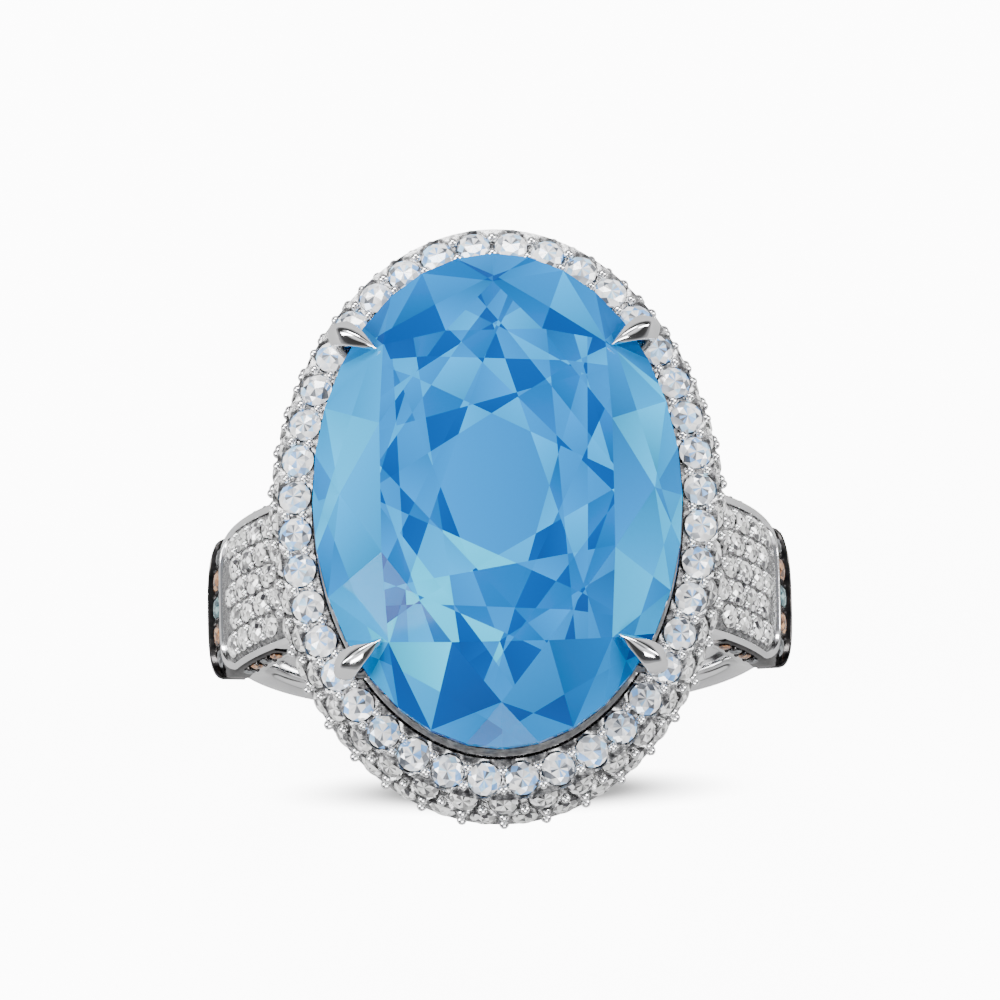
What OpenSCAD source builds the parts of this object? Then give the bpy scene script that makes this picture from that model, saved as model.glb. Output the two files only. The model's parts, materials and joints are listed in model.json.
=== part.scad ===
// Cocktail ring: oval claw-set centre stone, three-row pave halo, pave shoulders with
// dark-stone collars, and an open gallery carried on a full band.
// Finger hole along Y and centred on the origin, head towards +Z. Millimetres.

/* [Finger] */
// Diameter of the finger hole
finger_d = 17.3; // [16.5:0.1:18.5]

/* [Centre stone] */
// Girdle width, across the finger
stone_w = 13; // [12:0.1:14]
// Girdle length, along the finger
stone_l = 18; // [17:0.1:19]
// Height of the girdle above the centre of the finger hole
girdle_z = 15.5; // [15.3:0.1:16.5]

/* [Halo] */
// Round stones in each of the three rows, a multiple of 4
halo_count = 40; // [36:4:40]
// Diameter of the stones in the top row
halo_top_d = 1.16; // [1.0:0.02:1.18]

/* [Shank] */
// Outer radius of the plain band
band_r = 10.2; // [10.1:0.05:10.4]
// Half of the width of the plain band at the bottom
band_half_w = 1.15; // [1.0:0.05:1.4]
// Outer radius of the pave shoulders on their centre line
shoulder_r = 10.25; // [10.2:0.05:10.5]
// Half of the width of the pave shoulders
shoulder_half_w = 2.42; // [2.36:0.02:2.5]

/* [Hidden] */
SIDES = ["right", "left"];
$fn = 48;

white_metal = "gainsboro";
black_metal = "dimgray";
clear_stone = "aliceblue";

finger_r = finger_d / 2;
half_w = stone_w / 2;
half_l = stone_l / 2;

// Band: a thin sleeve carries the head and the shoulders, and thickens into the plain band.
sleeve_r = finger_r + 0.65;
// Half of the width of the band at each height, from the top down.
band_edge = [[9.4, 1.9], [6.8, 2.7], [2.6, 2.6], [0.7, 2.05], [-3.5, 1.35], [-10.6, band_half_w]];

// Angles down from +Z at which the pieces of a shoulder begin and end.
arm_start = 18;
plate_start = 48;
plate_end = 77.3;
rim_end = 78.5;
collar_floor_end = 84.4;
collar_end = 86.2;
// Angle at which the straight sides of a shoulder turn into its rounded end.
bend_start = 74;
// A thin lip edges each plate, and the black side walls stand under it, a little further out.
side_rim_w = 0.26;
wall_w = 0.34;
rim_half_w = shoulder_half_w + side_rim_w;
collar_half_w = shoulder_half_w + wall_w;
plate_corner = 1.05;
rim_corner = 1.25;
collar_corner = 1.4;

// Head levels.
gallery_bottom = 10.4;
gallery_top = 11;
culet_z = girdle_z - 5.55;

// Halo rows: offset out from the stone's girdle, height, outward tilt and stone diameter.
halo_rows = [
    [0.65, girdle_z - 1.55, 16, halo_top_d],
    [1.14, girdle_z - 2.5, 52, halo_top_d - 0.14],
    [1.44, girdle_z - 3.5, 82, halo_top_d - 0.21]];

// ---- The oval ----

// Point of the oval that runs `out` outside the girdle at the sides and a little more at the ends,
// at parameter t.
end_share = 1.15;
function oval(t, out) = [(half_w + out) * cos(t), (half_l + end_share * out) * sin(t)];
// Compass direction in which the oval faces at parameter t.
function facing(t) = atan2(half_w * sin(t), half_l * cos(t));
// Running length along the middle row against the parameter, for even spacing.
mid_out = halo_rows[1][0];
run = [for (t = 0, s = 0; t <= 360; s = s + norm(oval(t + 1, mid_out) - oval(t, mid_out)), t = t + 1) [s, t]];
function stop(k) = lookup(run[360][0] * k / halo_count, run);

// Children stand on the oval at parameter t, leaning outwards by tilt.
module on_oval(t, out, z, tilt) {
    p = oval(t, out);
    translate([p[0], p[1], z]) rotate([0, 0, facing(t)]) rotate([0, tilt, 0]) children();
}

// A ring of any section: each [out, z] point of the section follows its own oval.
module oval_ring(section, steps = 72) {
    n = len(section);
    points = [for (i = [0:steps - 1]) for (p = section)
        let (at = oval(i * 360 / steps, p[0])) [at[0], at[1], p[1]]];
    faces = [for (i = [0:steps - 1]) for (j = [0:n - 1])
        let (a = i * n, b = ((i + 1) % steps) * n, k = (j + 1) % n)
        each [[a + j, a + k, b + k], [a + j, b + k, b + j]]];
    polyhedron(points, faces, convexity = 6);
}

function box_section(out_1, out_2, z_1, z_2) =
    [[out_1, z_1], [out_1, z_2], [out_2, z_2], [out_2, z_1]];

// ---- Around the finger ----

module about_finger() rotate([-90, 0, 0]) children();

// Turns a section in [radius, y] from angle a to angle b, both down from +Z on the +X side.
module sector(a, b) about_finger() rotate([0, 0, a - 90]) rotate_extrude(angle = b - a) children();

// Children stand on a radius at the given angle, offset y along the finger, tilted along y.
module on_band(angle, radius, y, tilt = 0)
    rotate([0, angle, 0]) translate([0, y, radius]) rotate([-tilt, 0, 0]) children();

// Crowned section of the shoulders: flat on top, with round edges.
crown_power = 3;
function crown(y, half) = pow(1 - pow(abs(y / half), crown_power), 1 / crown_power);
function crown_tilt(y, half, rise) =
    atan(sign(y) * (rise / half) * pow(abs(y / half), 2) * pow(crown(y, half), -2));
module crown_section(inner, side, top, half) {
    steps = 14;
    polygon(concat([[inner, -half]],
        [for (i = [0:steps]) let (y = -half * cos(180 * i / steps)) [side + (top - side) * crown(y, half), y]],
        [[inner, half]]));
}
plate_side = sleeve_r + 0.55;
function shoulder_radius(y) = plate_side + (shoulder_r - plate_side) * crown(y, shoulder_half_w);
function shoulder_tilt(y) = crown_tilt(y, shoulder_half_w, shoulder_r - plate_side);

// Everything inside a tongue that lies along the band and ends, with round corners, at the angle.
module tongue(end, half, corner) rotate([0, end, 0]) linear_extrude(height = 12)
    polygon(concat([[-12, -half]],
        [for (i = [0:6]) [corner * (sin(15 * i) - 1), corner * (1 - cos(15 * i)) - half]],
        [for (i = [6:-1:0]) [corner * (sin(15 * i) - 1), half - corner * (1 - cos(15 * i))]],
        [[-12, half]]));

// ---- Stones, seats and beads ----

// A round brilliant as a turned solid, its girdle on z = 0.
crown_h = 0.15;
pavilion_h = 0.42;
module round_stone(d) rotate_extrude($fn = 24)
    polygon([[0, -pavilion_h * d], [d / 2, -0.015 * d], [d / 2, 0.015 * d],
        [0.28 * d, crown_h * d], [0, crown_h * d]]);

// The seat that a setter cuts for it, drilled through below.
seat_gap = 0.02;
module seat(d, depth) rotate_extrude($fn = 24)
    polygon([[0, -depth], [0.16 * d, -depth], [0.16 * d, -(pavilion_h * 0.68) * d - seat_gap],
        [d / 2 + seat_gap, -0.015 * d - seat_gap], [d / 2 + seat_gap, 1], [0, 1]]);

// A bead of metal raised beside a stone to hold it down.
module bead(r, foot = 0.4) rotate_extrude($fn = 16)
    polygon([[0, -foot], [r, -foot], [r, 0.1 * r], [0.7 * r, 0.8 * r], [0, 1.1 * r]]);

// ---- Band and gallery ----

module shank() color(white_metal) difference() {
    intersection() {
        union() {
            about_finger() cylinder(h = 7, r = sleeve_r, center = true, $fn = 96);
            sector(collar_end, 360 - collar_end)
                translate([sleeve_r - 0.3, -2.6]) square([band_r - sleeve_r + 0.3, 5.2]);
        }
        rotate([90, 0, 90]) linear_extrude(height = 30, center = true)
            polygon(concat([for (p = band_edge) [p[1], p[0]]],
                [for (i = [len(band_edge) - 1:-1:0]) [-band_edge[i][1], band_edge[i][0]]]));
    }
    about_finger() cylinder(h = 9, r = finger_r, center = true, $fn = 96);
    for (m = [0, 1]) mirror([m, 0, 0]) each_band_stone() seat($d, 1.2);
}

// Openwork bracket from the sleeve up to the gallery, with a window through it.
module gallery_arm() color(white_metal) difference() {
    rotate([90, 0, 0]) linear_extrude(height = 3.2, center = true) {
        foot = sleeve_r * sin(arm_start);
        difference() {
            polygon([[foot, 7], [foot, gallery_bottom], [7.35, gallery_bottom],
                [shoulder_r * sin(plate_start) - 0.2, shoulder_r * cos(plate_start) + 0.15],
                [sleeve_r * sin(plate_start) - 0.02, sleeve_r * cos(plate_start) + 0.02], [5, 7]]);
            polygon([[foot + 1.3, gallery_bottom - 0.6], [6.7, gallery_bottom - 0.6], [6.9, 8.2], [6, 8]]);
        }
    }
    about_finger() cylinder(h = 9, r = sleeve_r, center = true, $fn = 96);
}

module gallery_inner_rail() color(white_metal)
    oval_ring(box_section(-3.3, -2.7, gallery_bottom, gallery_top));
module gallery_outer_rail() color(white_metal)
    oval_ring(box_section(0.6, 1.15, gallery_bottom, gallery_top));
module gallery_struts() color(white_metal)
    for (i = [0:15]) let (t = 22.5 * i + 11.25, p = oval(t, -2.7), q = oval(t, 0.6), way = q - p)
        translate([p[0], p[1], gallery_bottom + 0.05]) rotate([0, 0, atan2(way[1], way[0])])
            translate([0.1, -0.25, 0]) cube([norm(way) - 0.2, 0.5, 0.5]);
module basket_rail() color(white_metal)
    oval_ring(box_section(-0.2, 0, girdle_z - 1.5, girdle_z - 0.4));

// ---- Claws ----

claw_t = 40;
post_foot = [-2.95, gallery_top];
post_head = [0.42, girdle_z - 0.35];
claw_tip = [-1, girdle_z + 1.2];
module leg(from, to, r_1, r_2) {
    way = to - from;
    translate([from[0], 0, from[1]]) rotate([0, atan2(way[0], way[1]), 0])
        cylinder(h = norm(way), r1 = r_1, r2 = r_2, $fn = 24);
}
// Post from the inner rail to the girdle, then a pointed claw laid over the crown.
module claw(t) color(white_metal) difference() {
    p = oval(t, 0);
    translate([p[0], p[1], 0]) rotate([0, 0, facing(t)]) {
        leg(post_foot, post_head, 0.4, 0.42);
        translate([post_head[0], 0, post_head[1]]) sphere(r = 0.42, $fn = 24);
        leg(post_head, [0.3, girdle_z + 0.5], 0.42, 0.5);
        translate([0.3, 0, girdle_z + 0.5]) sphere(r = 0.5, $fn = 24);
        leg([0.3, girdle_z + 0.5], claw_tip, 0.5, 0.06);
    }
    centre_solid(0.03);
}

// ---- Centre stone ----

table_share = 0.55;
crown_rise = 2.05;
girdle_half = 0.13;
// Oval brilliant in outline: rings of points at chosen shares of the girdle, grown by `gap`.
module centre_solid(gap = 0) {
    n = 32;
    levels = [[0.04, culet_z - girdle_z - gap], [0.6, -3.2], [1, -girdle_half - gap / 2],
        [1, girdle_half + gap / 2], [0.8, 1.25], [table_share, crown_rise + gap]];
    ring_points = [for (level = levels) for (i = [0:n - 1])
        [(half_w + gap) * level[0] * cos(360 * i / n), (half_l + gap) * level[0] * sin(360 * i / n),
            girdle_z + level[1]]];
    sides = [for (r = [0:len(levels) - 2]) for (i = [0:n - 1])
        let (a = r * n + i, b = r * n + (i + 1) % n) each [[a, a + n, b + n], [a, b + n, b]]];
    bottom = [for (i = [0:n - 1]) i];
    top = [for (i = [n - 1:-1:0]) (len(levels) - 1) * n + i];
    polyhedron(ring_points, concat(sides, [bottom, top]), convexity = 2);
}
module centre_stone() color("deepskyblue") centre_solid();

// ---- Halo ----

// The seat groove of one row, as three points of the frame's section.
function groove(row) = let (
        c = [row[0], row[1]], along = [cos(row[2]), -sin(row[2])], up = [sin(row[2]), cos(row[2])],
        half = row[3] / 2 + 0.04)
    [c - along * half - up * 0.03, c - up * (pavilion_h * row[3] + 0.08), c + along * half - up * 0.03];
module halo_frame() color(white_metal)
    oval_ring(concat(
        [[-0.2, gallery_top], [-0.2, girdle_z - 1.5], [0.03, girdle_z - 1.5]],
        [for (row = halo_rows) each groove(row)],
        [[1.15, gallery_top], [0.85, gallery_top], [0.62, gallery_top + 0.9], [0.45, gallery_top + 1.6],
            [0.2, gallery_top + 1.9], [0.2, gallery_top]]));

// Rows 1 and 3 stand half a step off row 2, so that the stones nest.
function row_shift(i) = i == 1 ? 0 : 0.5;
module halo_stones(i) color(clear_stone)
    for (k = [0:halo_count - 1])
        on_oval(stop(k + row_shift(i)), halo_rows[i][0], halo_rows[i][1], halo_rows[i][2])
            round_stone(halo_rows[i][3]);
bead_r = 0.2;
bead_spread = 0.33;
// Two beads stand between each pair of stones: across is -1 for the inner and 1 for the outer.
module halo_beads(i, across) color(white_metal)
    for (k = [0:halo_count - 1])
        on_oval(stop(k + 0.5 - row_shift(i)), halo_rows[i][0], halo_rows[i][1], halo_rows[i][2])
            translate([across * bead_spread, 0, 0.03]) bead(bead_r);

// ---- Shoulders ----

pave_d = 0.86;
pave_pitch = 5.8;
pave_first = 71.5;
pave_lines = [-1.84, -0.92, 0, 0.92, 1.84];
module each_shoulder_stone()
    for (j = [0:4], i = [0:3])
        on_band(pave_first - pave_pitch * (i + (j % 2) / 2), shoulder_radius(pave_lines[j]) - 0.02,
            pave_lines[j], shoulder_tilt(pave_lines[j])) children();
module shoulder_plate() color(white_metal) difference() {
    intersection() {
        sector(plate_start, plate_end + 1) crown_section(sleeve_r, plate_side, shoulder_r, shoulder_half_w);
        tongue(plate_end, shoulder_half_w + 0.01, plate_corner);
    }
    each_shoulder_stone() seat(pave_d, 0.6);
}
// Strip along a side of the shoulder, from angle a to b and between two radii.
module side_strip(a, b, y, width, bottom, top)
    sector(a, b) translate([bottom, y]) square([top - bottom, width]);
wall_top = sleeve_r + 0.55;
module shoulder_rim() color(white_metal) {
    difference() {
        intersection() {
            sector(bend_start, rim_end + 1)
                crown_section(sleeve_r, plate_side + 0.1, shoulder_r + 0.12, rim_half_w + 0.02);
            tongue(rim_end, rim_half_w, rim_corner);
        }
        tongue(plate_end, shoulder_half_w, plate_corner);
    }
    for (m = [0, 1]) mirror([0, m, 0])
        side_strip(plate_start, bend_start + 0.1, shoulder_half_w, side_rim_w, wall_top, wall_top + 0.22);
}
module shoulder_stones() color(clear_stone) each_shoulder_stone() round_stone(pave_d);
pave_bead_r = 0.15;
pave_bead_spread = 0.29;
module shoulder_beads() color(white_metal)
    for (j = [0:4], i = [0:2], across = [-1, 1])
        on_band(pave_first - pave_pitch * (i + 0.5 + (j % 2) / 2), shoulder_radius(pave_lines[j]) - 0.02,
            pave_lines[j], shoulder_tilt(pave_lines[j]))
            translate([0, across * pave_bead_spread, 0]) bead(pave_bead_r, 0.3);

// ---- Collars ----

collar_floor_r = shoulder_r + 0.08;
collar_side = sleeve_r + 0.3;
collar_crown_half = collar_half_w + 0.1;
collar_rim_r = shoulder_r + 0.37;
// The collar's rim begins part-way round each corner.
lip_start = 80;
// Stones round the rounded end: angle, distance along the finger and diameter.
middle_stone = [81.4, 0, 0.9];
next_stone = [81.4, 1.0, 0.86];
corner_stone = [80.6, 1.9, 0.7];
module on_collar(angle, y) {
    rise = collar_floor_r - collar_side;
    on_band(angle, collar_side + rise * crown(y, collar_crown_half) - 0.01, y,
        crown_tilt(y, collar_crown_half, rise)) children();
}
module each_end_stone(stone, sides = [-1, 1])
    for (side = sides) let ($d = stone[2]) on_collar(stone[0], side * stone[1]) children();
// Stones on the outer faces of the side walls, from the head end outwards.
wall_start = 54;
wall_line = [57, 61.5, 66, 70.5];
wall_d = 0.46;
wall_row_r = sleeve_r + 0.28;
module on_wall(angle, radius, side) on_band(angle, radius, side * (collar_half_w + 0.03), side * 90) children();
module each_wall_stone(first)
    for (side = [-1, 1], i = [first, first + 2]) on_wall(wall_line[i], wall_row_r, side) children();
module collar() color(black_metal) difference() {
    union() {
        difference() {
            intersection() {
                sector(bend_start - 0.1, collar_floor_end + 1)
                    crown_section(sleeve_r, collar_side, collar_floor_r, collar_crown_half);
                tongue(collar_floor_end, collar_half_w - 0.02, collar_corner);
            }
            tongue(rim_end, rim_half_w, rim_corner);
        }
        for (m = [0, 1]) mirror([0, m, 0])
            side_strip(wall_start, bend_start, shoulder_half_w, wall_w, sleeve_r - 0.1, wall_top);
    }
    each_end_stone(middle_stone, [1]) seat($d, 0.7);
    for (stone = [next_stone, corner_stone]) each_end_stone(stone) seat($d, 0.7);
    for (first = [0, 1]) each_wall_stone(first) seat(wall_d, 0.8);
}
module collar_rim() color(black_metal) difference() {
    intersection() {
        sector(lip_start, collar_end + 1)
            crown_section(sleeve_r, collar_side + 0.1, collar_rim_r, collar_crown_half);
        tongue(collar_end, collar_half_w, collar_corner);
    }
    tongue(collar_floor_end, collar_half_w, collar_corner);
}
module collar_teal_stone() color("cadetblue") each_end_stone(middle_stone, [1]) round_stone($d);
module collar_cognac_stones() color("saddlebrown") {
    each_end_stone(next_stone) round_stone($d);
    each_wall_stone(0) round_stone(wall_d);
}
module collar_black_stones() color("darkslategray") {
    each_end_stone(corner_stone) round_stone($d);
    each_wall_stone(1) round_stone(wall_d);
}
module collar_beads() color(black_metal) {
    for (y = [-1.48, -0.5, 0.5, 1.48], across = [-1, 1])
        on_collar(81.3, y) translate([across * 0.36, 0, 0]) bead(0.11, 0.3);
    for (side = [-1, 1], i = [0:2], across = [-1, 1])
        on_wall((wall_line[i] + wall_line[i + 1]) / 2, wall_row_r + across * 0.16, side) bead(0.09, 0.33);
}

// ---- Stones on the band, below the collar ----

band_line = [[89.6, 1.0], [95.6, 0.95], [101.3, 0.9], [106.7, 0.85]];
module each_band_stone() for (s = band_line) let ($d = s[1]) on_band(s[0], band_r - 0.02, 0) children();
module band_stones() color(clear_stone) each_band_stone() round_stone($d);
module band_beads() color(white_metal)
    for (i = [0:2], across = [-1, 1]) let (angle = (band_line[i][0] + band_line[i + 1][0]) / 2)
        on_band(angle, band_r - 0.02, 0) translate([0, across * 0.34, 0]) bead(0.16, 0.3);

// ---- Which node is drawn ----

module sided(side) mirror([side == "left" ? 1 : 0, 0, 0]) children();

shank();
gallery_inner_rail();
gallery_outer_rail();
gallery_struts();
basket_rail();
claw(-claw_t);  // claw_front_right
claw(180 + claw_t);  // claw_front_left
claw(claw_t);  // claw_back_right
claw(180 - claw_t);  // claw_back_left
centre_stone();
halo_frame();
for (i = [0:2]) halo_stones(i);
for (i = [0:2]) halo_beads(i, -1);
for (i = [0:2]) halo_beads(i, 1);
for (side = SIDES) {
    sided(side) gallery_arm();
    sided(side) shoulder_plate();
    sided(side) shoulder_rim();
    sided(side) shoulder_stones();
    sided(side) shoulder_beads();
    sided(side) collar();
    sided(side) collar_rim();
    sided(side) collar_teal_stone();
    sided(side) collar_cognac_stones();
    sided(side) collar_black_stones();
    sided(side) collar_beads();
    sided(side) band_stones();
    sided(side) band_beads();
}
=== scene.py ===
# %% [markdown]
# # A cocktail ring with an oval topaz
# A cocktail ring carries one big stone high over the finger. Round it runs a halo, a domed collar
# of metal that is drilled and set with rows of tiny diamonds. The CAD frame already holds every
# piece at its true place. This lesson gives each one its finish: cut facets, raised beads,
# polished and blackened metal. Lengths are in metres, so a millimetre is written as MM.

# %% Load the frame
import json
import math
import random

import bmesh
import bpy
from mathutils import Matrix, Quaternion, Vector
from mathutils.kdtree import KDTree


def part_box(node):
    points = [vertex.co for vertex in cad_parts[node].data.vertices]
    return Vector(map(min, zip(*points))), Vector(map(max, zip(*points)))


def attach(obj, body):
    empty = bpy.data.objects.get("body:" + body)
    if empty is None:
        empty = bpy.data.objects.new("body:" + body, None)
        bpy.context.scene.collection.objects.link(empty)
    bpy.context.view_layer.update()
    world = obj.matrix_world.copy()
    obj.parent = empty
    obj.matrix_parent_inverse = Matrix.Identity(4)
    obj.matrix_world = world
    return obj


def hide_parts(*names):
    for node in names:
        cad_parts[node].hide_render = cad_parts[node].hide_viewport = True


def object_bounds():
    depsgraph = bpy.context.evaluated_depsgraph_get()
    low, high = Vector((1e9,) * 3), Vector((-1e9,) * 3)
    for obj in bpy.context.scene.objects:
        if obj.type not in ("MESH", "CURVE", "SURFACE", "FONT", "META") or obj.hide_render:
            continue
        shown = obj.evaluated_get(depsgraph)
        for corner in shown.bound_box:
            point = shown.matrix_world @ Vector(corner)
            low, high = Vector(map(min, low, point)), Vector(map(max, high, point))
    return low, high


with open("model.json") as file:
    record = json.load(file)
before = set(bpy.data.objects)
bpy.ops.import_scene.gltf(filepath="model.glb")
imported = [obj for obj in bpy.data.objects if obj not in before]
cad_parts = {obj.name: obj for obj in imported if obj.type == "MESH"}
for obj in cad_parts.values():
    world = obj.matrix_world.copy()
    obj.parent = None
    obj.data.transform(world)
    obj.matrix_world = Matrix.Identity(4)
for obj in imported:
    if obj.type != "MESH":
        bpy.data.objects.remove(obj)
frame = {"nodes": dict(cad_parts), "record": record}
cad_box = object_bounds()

MM = 0.001
print("nodes in the frame:", len(frame["nodes"]))

# %% [markdown]
# ## Where things are
# The jeweller's drawing starts from the girdle, the widest line of the centre stone. The culet,
# the lowest point of the stone, lies a fixed depth below it, so the box of that one node gives
# both. The finger hole is a mount of the record, and its radius is read from there. Every oval
# in the head runs a set distance outside the girdle, a little more at the two ends.

# %% Measure the girdle and the finger hole
PAVILION_DEPTH = 5.55 * MM
END_SHARE = 1.15
stone_low, stone_high = (Vector(corner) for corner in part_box("centre_stone"))
HALF_W, HALF_L = stone_high.x, stone_high.y
GIRDLE_Z = stone_low.z + PAVILION_DEPTH
FINGER_R = frame["record"]["mounts"][0]["dims"]["r_mm"] * MM
SLEEVE_R = FINGER_R + 0.65 * MM


def oval(t, out):
    """The point at parameter t, in radians, of the oval that runs out metres outside the girdle."""
    return Vector(((HALF_W + out) * math.cos(t), (HALF_L + END_SHARE * out) * math.sin(t), 0))


print("girdle", round(HALF_W / MM, 2), "x", round(HALF_L / MM, 2), "at", round(GIRDLE_Z / MM, 2), "mm")

# %% [markdown]
# ## Reading seats off the frame
# A setter drills a seat for each stone, and the stone takes its place and lean from the seat. Here
# each small solid of a CAD node plays that part. Its largest flat face is a stone's table or a
# bead's foot, so the middle of that face, its normal and the solid's widest radius say all that a
# finely cut copy needs. Measuring this beats typing a hundred positions, and it can't drift from
# the frame.

# %% Measure each solid of a node
class Seat:
    """Middle and normal of a small solid's largest flat face, with its widest radius and its height."""
    def __init__(self, middle, axis, radius, height):
        self.middle, self.axis, self.radius, self.height = middle, axis, radius, height


def connected(start):
    """All vertices of the solid that a vertex belongs to."""
    group, waiting = {start}, [start]
    while waiting:
        vert = waiting.pop()
        for edge in vert.link_edges:
            other = edge.other_vert(vert)
            if other not in group:
                group.add(other)
                waiting.append(other)
    return group


def seats_of(node):
    """One seat for each separate solid of a CAD node."""
    bm = bmesh.new()
    bm.from_mesh(frame["nodes"][node].data)
    bmesh.ops.remove_doubles(bm, verts=bm.verts, dist=1e-7)
    bm.normal_update()
    seats, seen = [], set()
    for vert in bm.verts:
        if vert in seen:
            continue
        group = connected(vert)
        seen |= group
        flats = []
        for face in sorted({f for v in group for f in v.link_faces}, key=lambda f: -f.calc_area()):
            match = next((flat for flat in flats if flat[0].normal.dot(face.normal) > 0.9999), None)
            if match:
                match.append(face)
            else:
                flats.append([face])
        flat = max(flats, key=lambda faces: sum(f.calc_area() for f in faces))
        area = sum(f.calc_area() for f in flat)
        middle = sum((f.calc_center_median() * f.calc_area() for f in flat), Vector()) / area
        axis = flat[0].normal.copy()
        offsets = [v.co - middle for v in group]
        radius = max((o - axis * o.dot(axis)).length for o in offsets)
        height = max(abs(o.dot(axis)) for o in offsets)
        seats.append(Seat(middle, axis, radius, height))
    bm.free()
    return seats


# Height of a small stone's table over its girdle, as a share of the girdle's radius.
TABLE_RISE = 0.3


def stone_seats(node):
    """Seats moved down from the table to the girdle."""
    seats = seats_of(node)
    for seat in seats:
        seat.middle = seat.middle - seat.axis * (TABLE_RISE * seat.radius)
    return seats


print("stones in the top row:", len(seats_of("halo_stones_row_1")))

# %% [markdown]
# ## Camera, floor and light
# A ring is usually shown from above the stone, tipped a little so that the lower side of the halo
# shows its depth. A long lens keeps the oval from bulging. The floor is plain white paper, which
# the camera sees brighter than the metal does. Such bright paper swallows shadows, so a soft dark
# streak is painted where the halo's shadow lies. Polished metal has no colour of its own, so what
# makes it look like metal is a world with bright and dark zones to mirror. The zone straight above
# is kept dim, because the flat table of the big stone mirrors it and would look milky.

# %% Set the camera
VIEW_ELEVATION = math.radians(74.5)
VIEW_ROLL = math.radians(1.2)
VIEW_DISTANCE = 0.45
VIEW_WIDTH = 35.1 * MM
target = Vector((0.09 * MM, 0, GIRDLE_Z))
toward_camera = Vector((0, -math.cos(VIEW_ELEVATION), math.sin(VIEW_ELEVATION)))
camera = bpy.data.objects.new("camera", bpy.data.cameras.new("camera"))
bpy.context.collection.objects.link(camera)
camera.data.lens = camera.data.sensor_width * VIEW_DISTANCE / VIEW_WIDTH
camera.data.clip_start = 0.01
camera.location = target + toward_camera * VIEW_DISTANCE
level = toward_camera.to_track_quat("Z", "Y")
camera.rotation_euler = (level @ Quaternion((0, 0, 1), -VIEW_ROLL)).to_euler()
bpy.context.scene.camera = camera
print("lens", round(camera.data.lens), "mm")

# %% Lay the floor
FLOOR_SIZE = 1.5
FLOOR_GLOW = 9.0
WHITE_TO_METAL, WHITE_TO_CAMERA = 0.3, 0.93
SHADOW_MIDDLE, SHADOW_REACH = (0.2, -4.02, 0), (9.5, 1.05, 10)
SHADOW_EDGE, SHADOW_DEPTH = 0.6, 0.05
floor_bm = bmesh.new()
bmesh.ops.create_grid(floor_bm, x_segments=1, y_segments=1, size=FLOOR_SIZE / 2)
floor_mesh = bpy.data.meshes.new("floor")
floor_bm.to_mesh(floor_mesh)
floor_bm.free()
floor = bpy.data.objects.new("floor", floor_mesh)
floor.location.z = cad_box[0][2]
bpy.context.collection.objects.link(floor)
floor_paint = bpy.data.materials.new("floor_paper")
floor_paint.use_nodes = True
floor_nodes, floor_links = floor_paint.node_tree.nodes, floor_paint.node_tree.links


def multiplied(one, other):
    """A node output that multiplies an output by another output or by a number."""
    node = floor_nodes.new("ShaderNodeMath")
    node.operation = "MULTIPLY"
    floor_links.new(one, node.inputs[0])
    if isinstance(other, float):
        node.inputs[1].default_value = other
    else:
        floor_links.new(other, node.inputs[1])
    return node.outputs[0]


where = floor_nodes.new("ShaderNodeTexCoord")
spot = floor_nodes.new("ShaderNodeMapping")
spot.inputs["Scale"].default_value = tuple(1 / (reach * MM) for reach in SHADOW_REACH)
spot.inputs["Location"].default_value = tuple(-at / reach for at, reach in zip(SHADOW_MIDDLE, SHADOW_REACH))
falloff = floor_nodes.new("ShaderNodeTexGradient")
falloff.gradient_type = "SPHERICAL"
shade = floor_nodes.new("ShaderNodeMapRange")
shade.interpolation_type = "SMOOTHSTEP"
shade.inputs["From Max"].default_value = SHADOW_EDGE
shade.inputs["To Min"].default_value, shade.inputs["To Max"].default_value = 1, SHADOW_DEPTH
ray = floor_nodes.new("ShaderNodeLightPath")
tint = floor_nodes.new("ShaderNodeMapRange")
tint.inputs["To Min"].default_value, tint.inputs["To Max"].default_value = WHITE_TO_METAL, WHITE_TO_CAMERA
floor_links.new(where.outputs["Object"], spot.inputs["Vector"])
floor_links.new(spot.outputs["Vector"], falloff.inputs["Vector"])
floor_links.new(falloff.outputs["Fac"], shade.inputs["Value"])
floor_links.new(ray.outputs["Is Camera Ray"], tint.inputs["Value"])
paper = floor_nodes["Principled BSDF"]
paper.inputs["Roughness"].default_value = 0.9
paper.inputs["Specular IOR Level"].default_value = 0.1
paper.inputs["Emission Color"].default_value = (1, 1, 1, 1)
glow = multiplied(multiplied(ray.outputs["Is Camera Ray"], shade.outputs["Result"]), FLOOR_GLOW)
floor_links.new(glow, paper.inputs["Emission Strength"])
floor_links.new(multiplied(tint.outputs["Result"], shade.outputs["Result"]), paper.inputs["Base Color"])
floor_mesh.materials.append(floor_paint)

# %% Hang the lamps and paint the world
def softbox(name, place, size, power):
    """A square-edged lamp that faces the ring."""
    lamp = bpy.data.lights.new(name, "AREA")
    lamp.shape = "RECTANGLE"
    lamp.size, lamp.size_y = size
    lamp.energy = power
    holder = bpy.data.objects.new(name, lamp)
    holder.location = place
    holder.rotation_euler = Vector(place).to_track_quat("Z", "Y").to_euler()
    bpy.context.collection.objects.link(holder)


softbox("lamp_back", (-0.06, 0.32, 0.34), (0.36, 0.12), 3.4)
softbox("lamp_left", (-0.36, -0.04, 0.24), (0.12, 0.3), 2.4)
softbox("lamp_right", (0.38, 0.06, 0.22), (0.1, 0.3), 2.0)
softbox("lamp_front", (0.06, -0.38, 0.2), (0.3, 0.1), 1.6)

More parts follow.
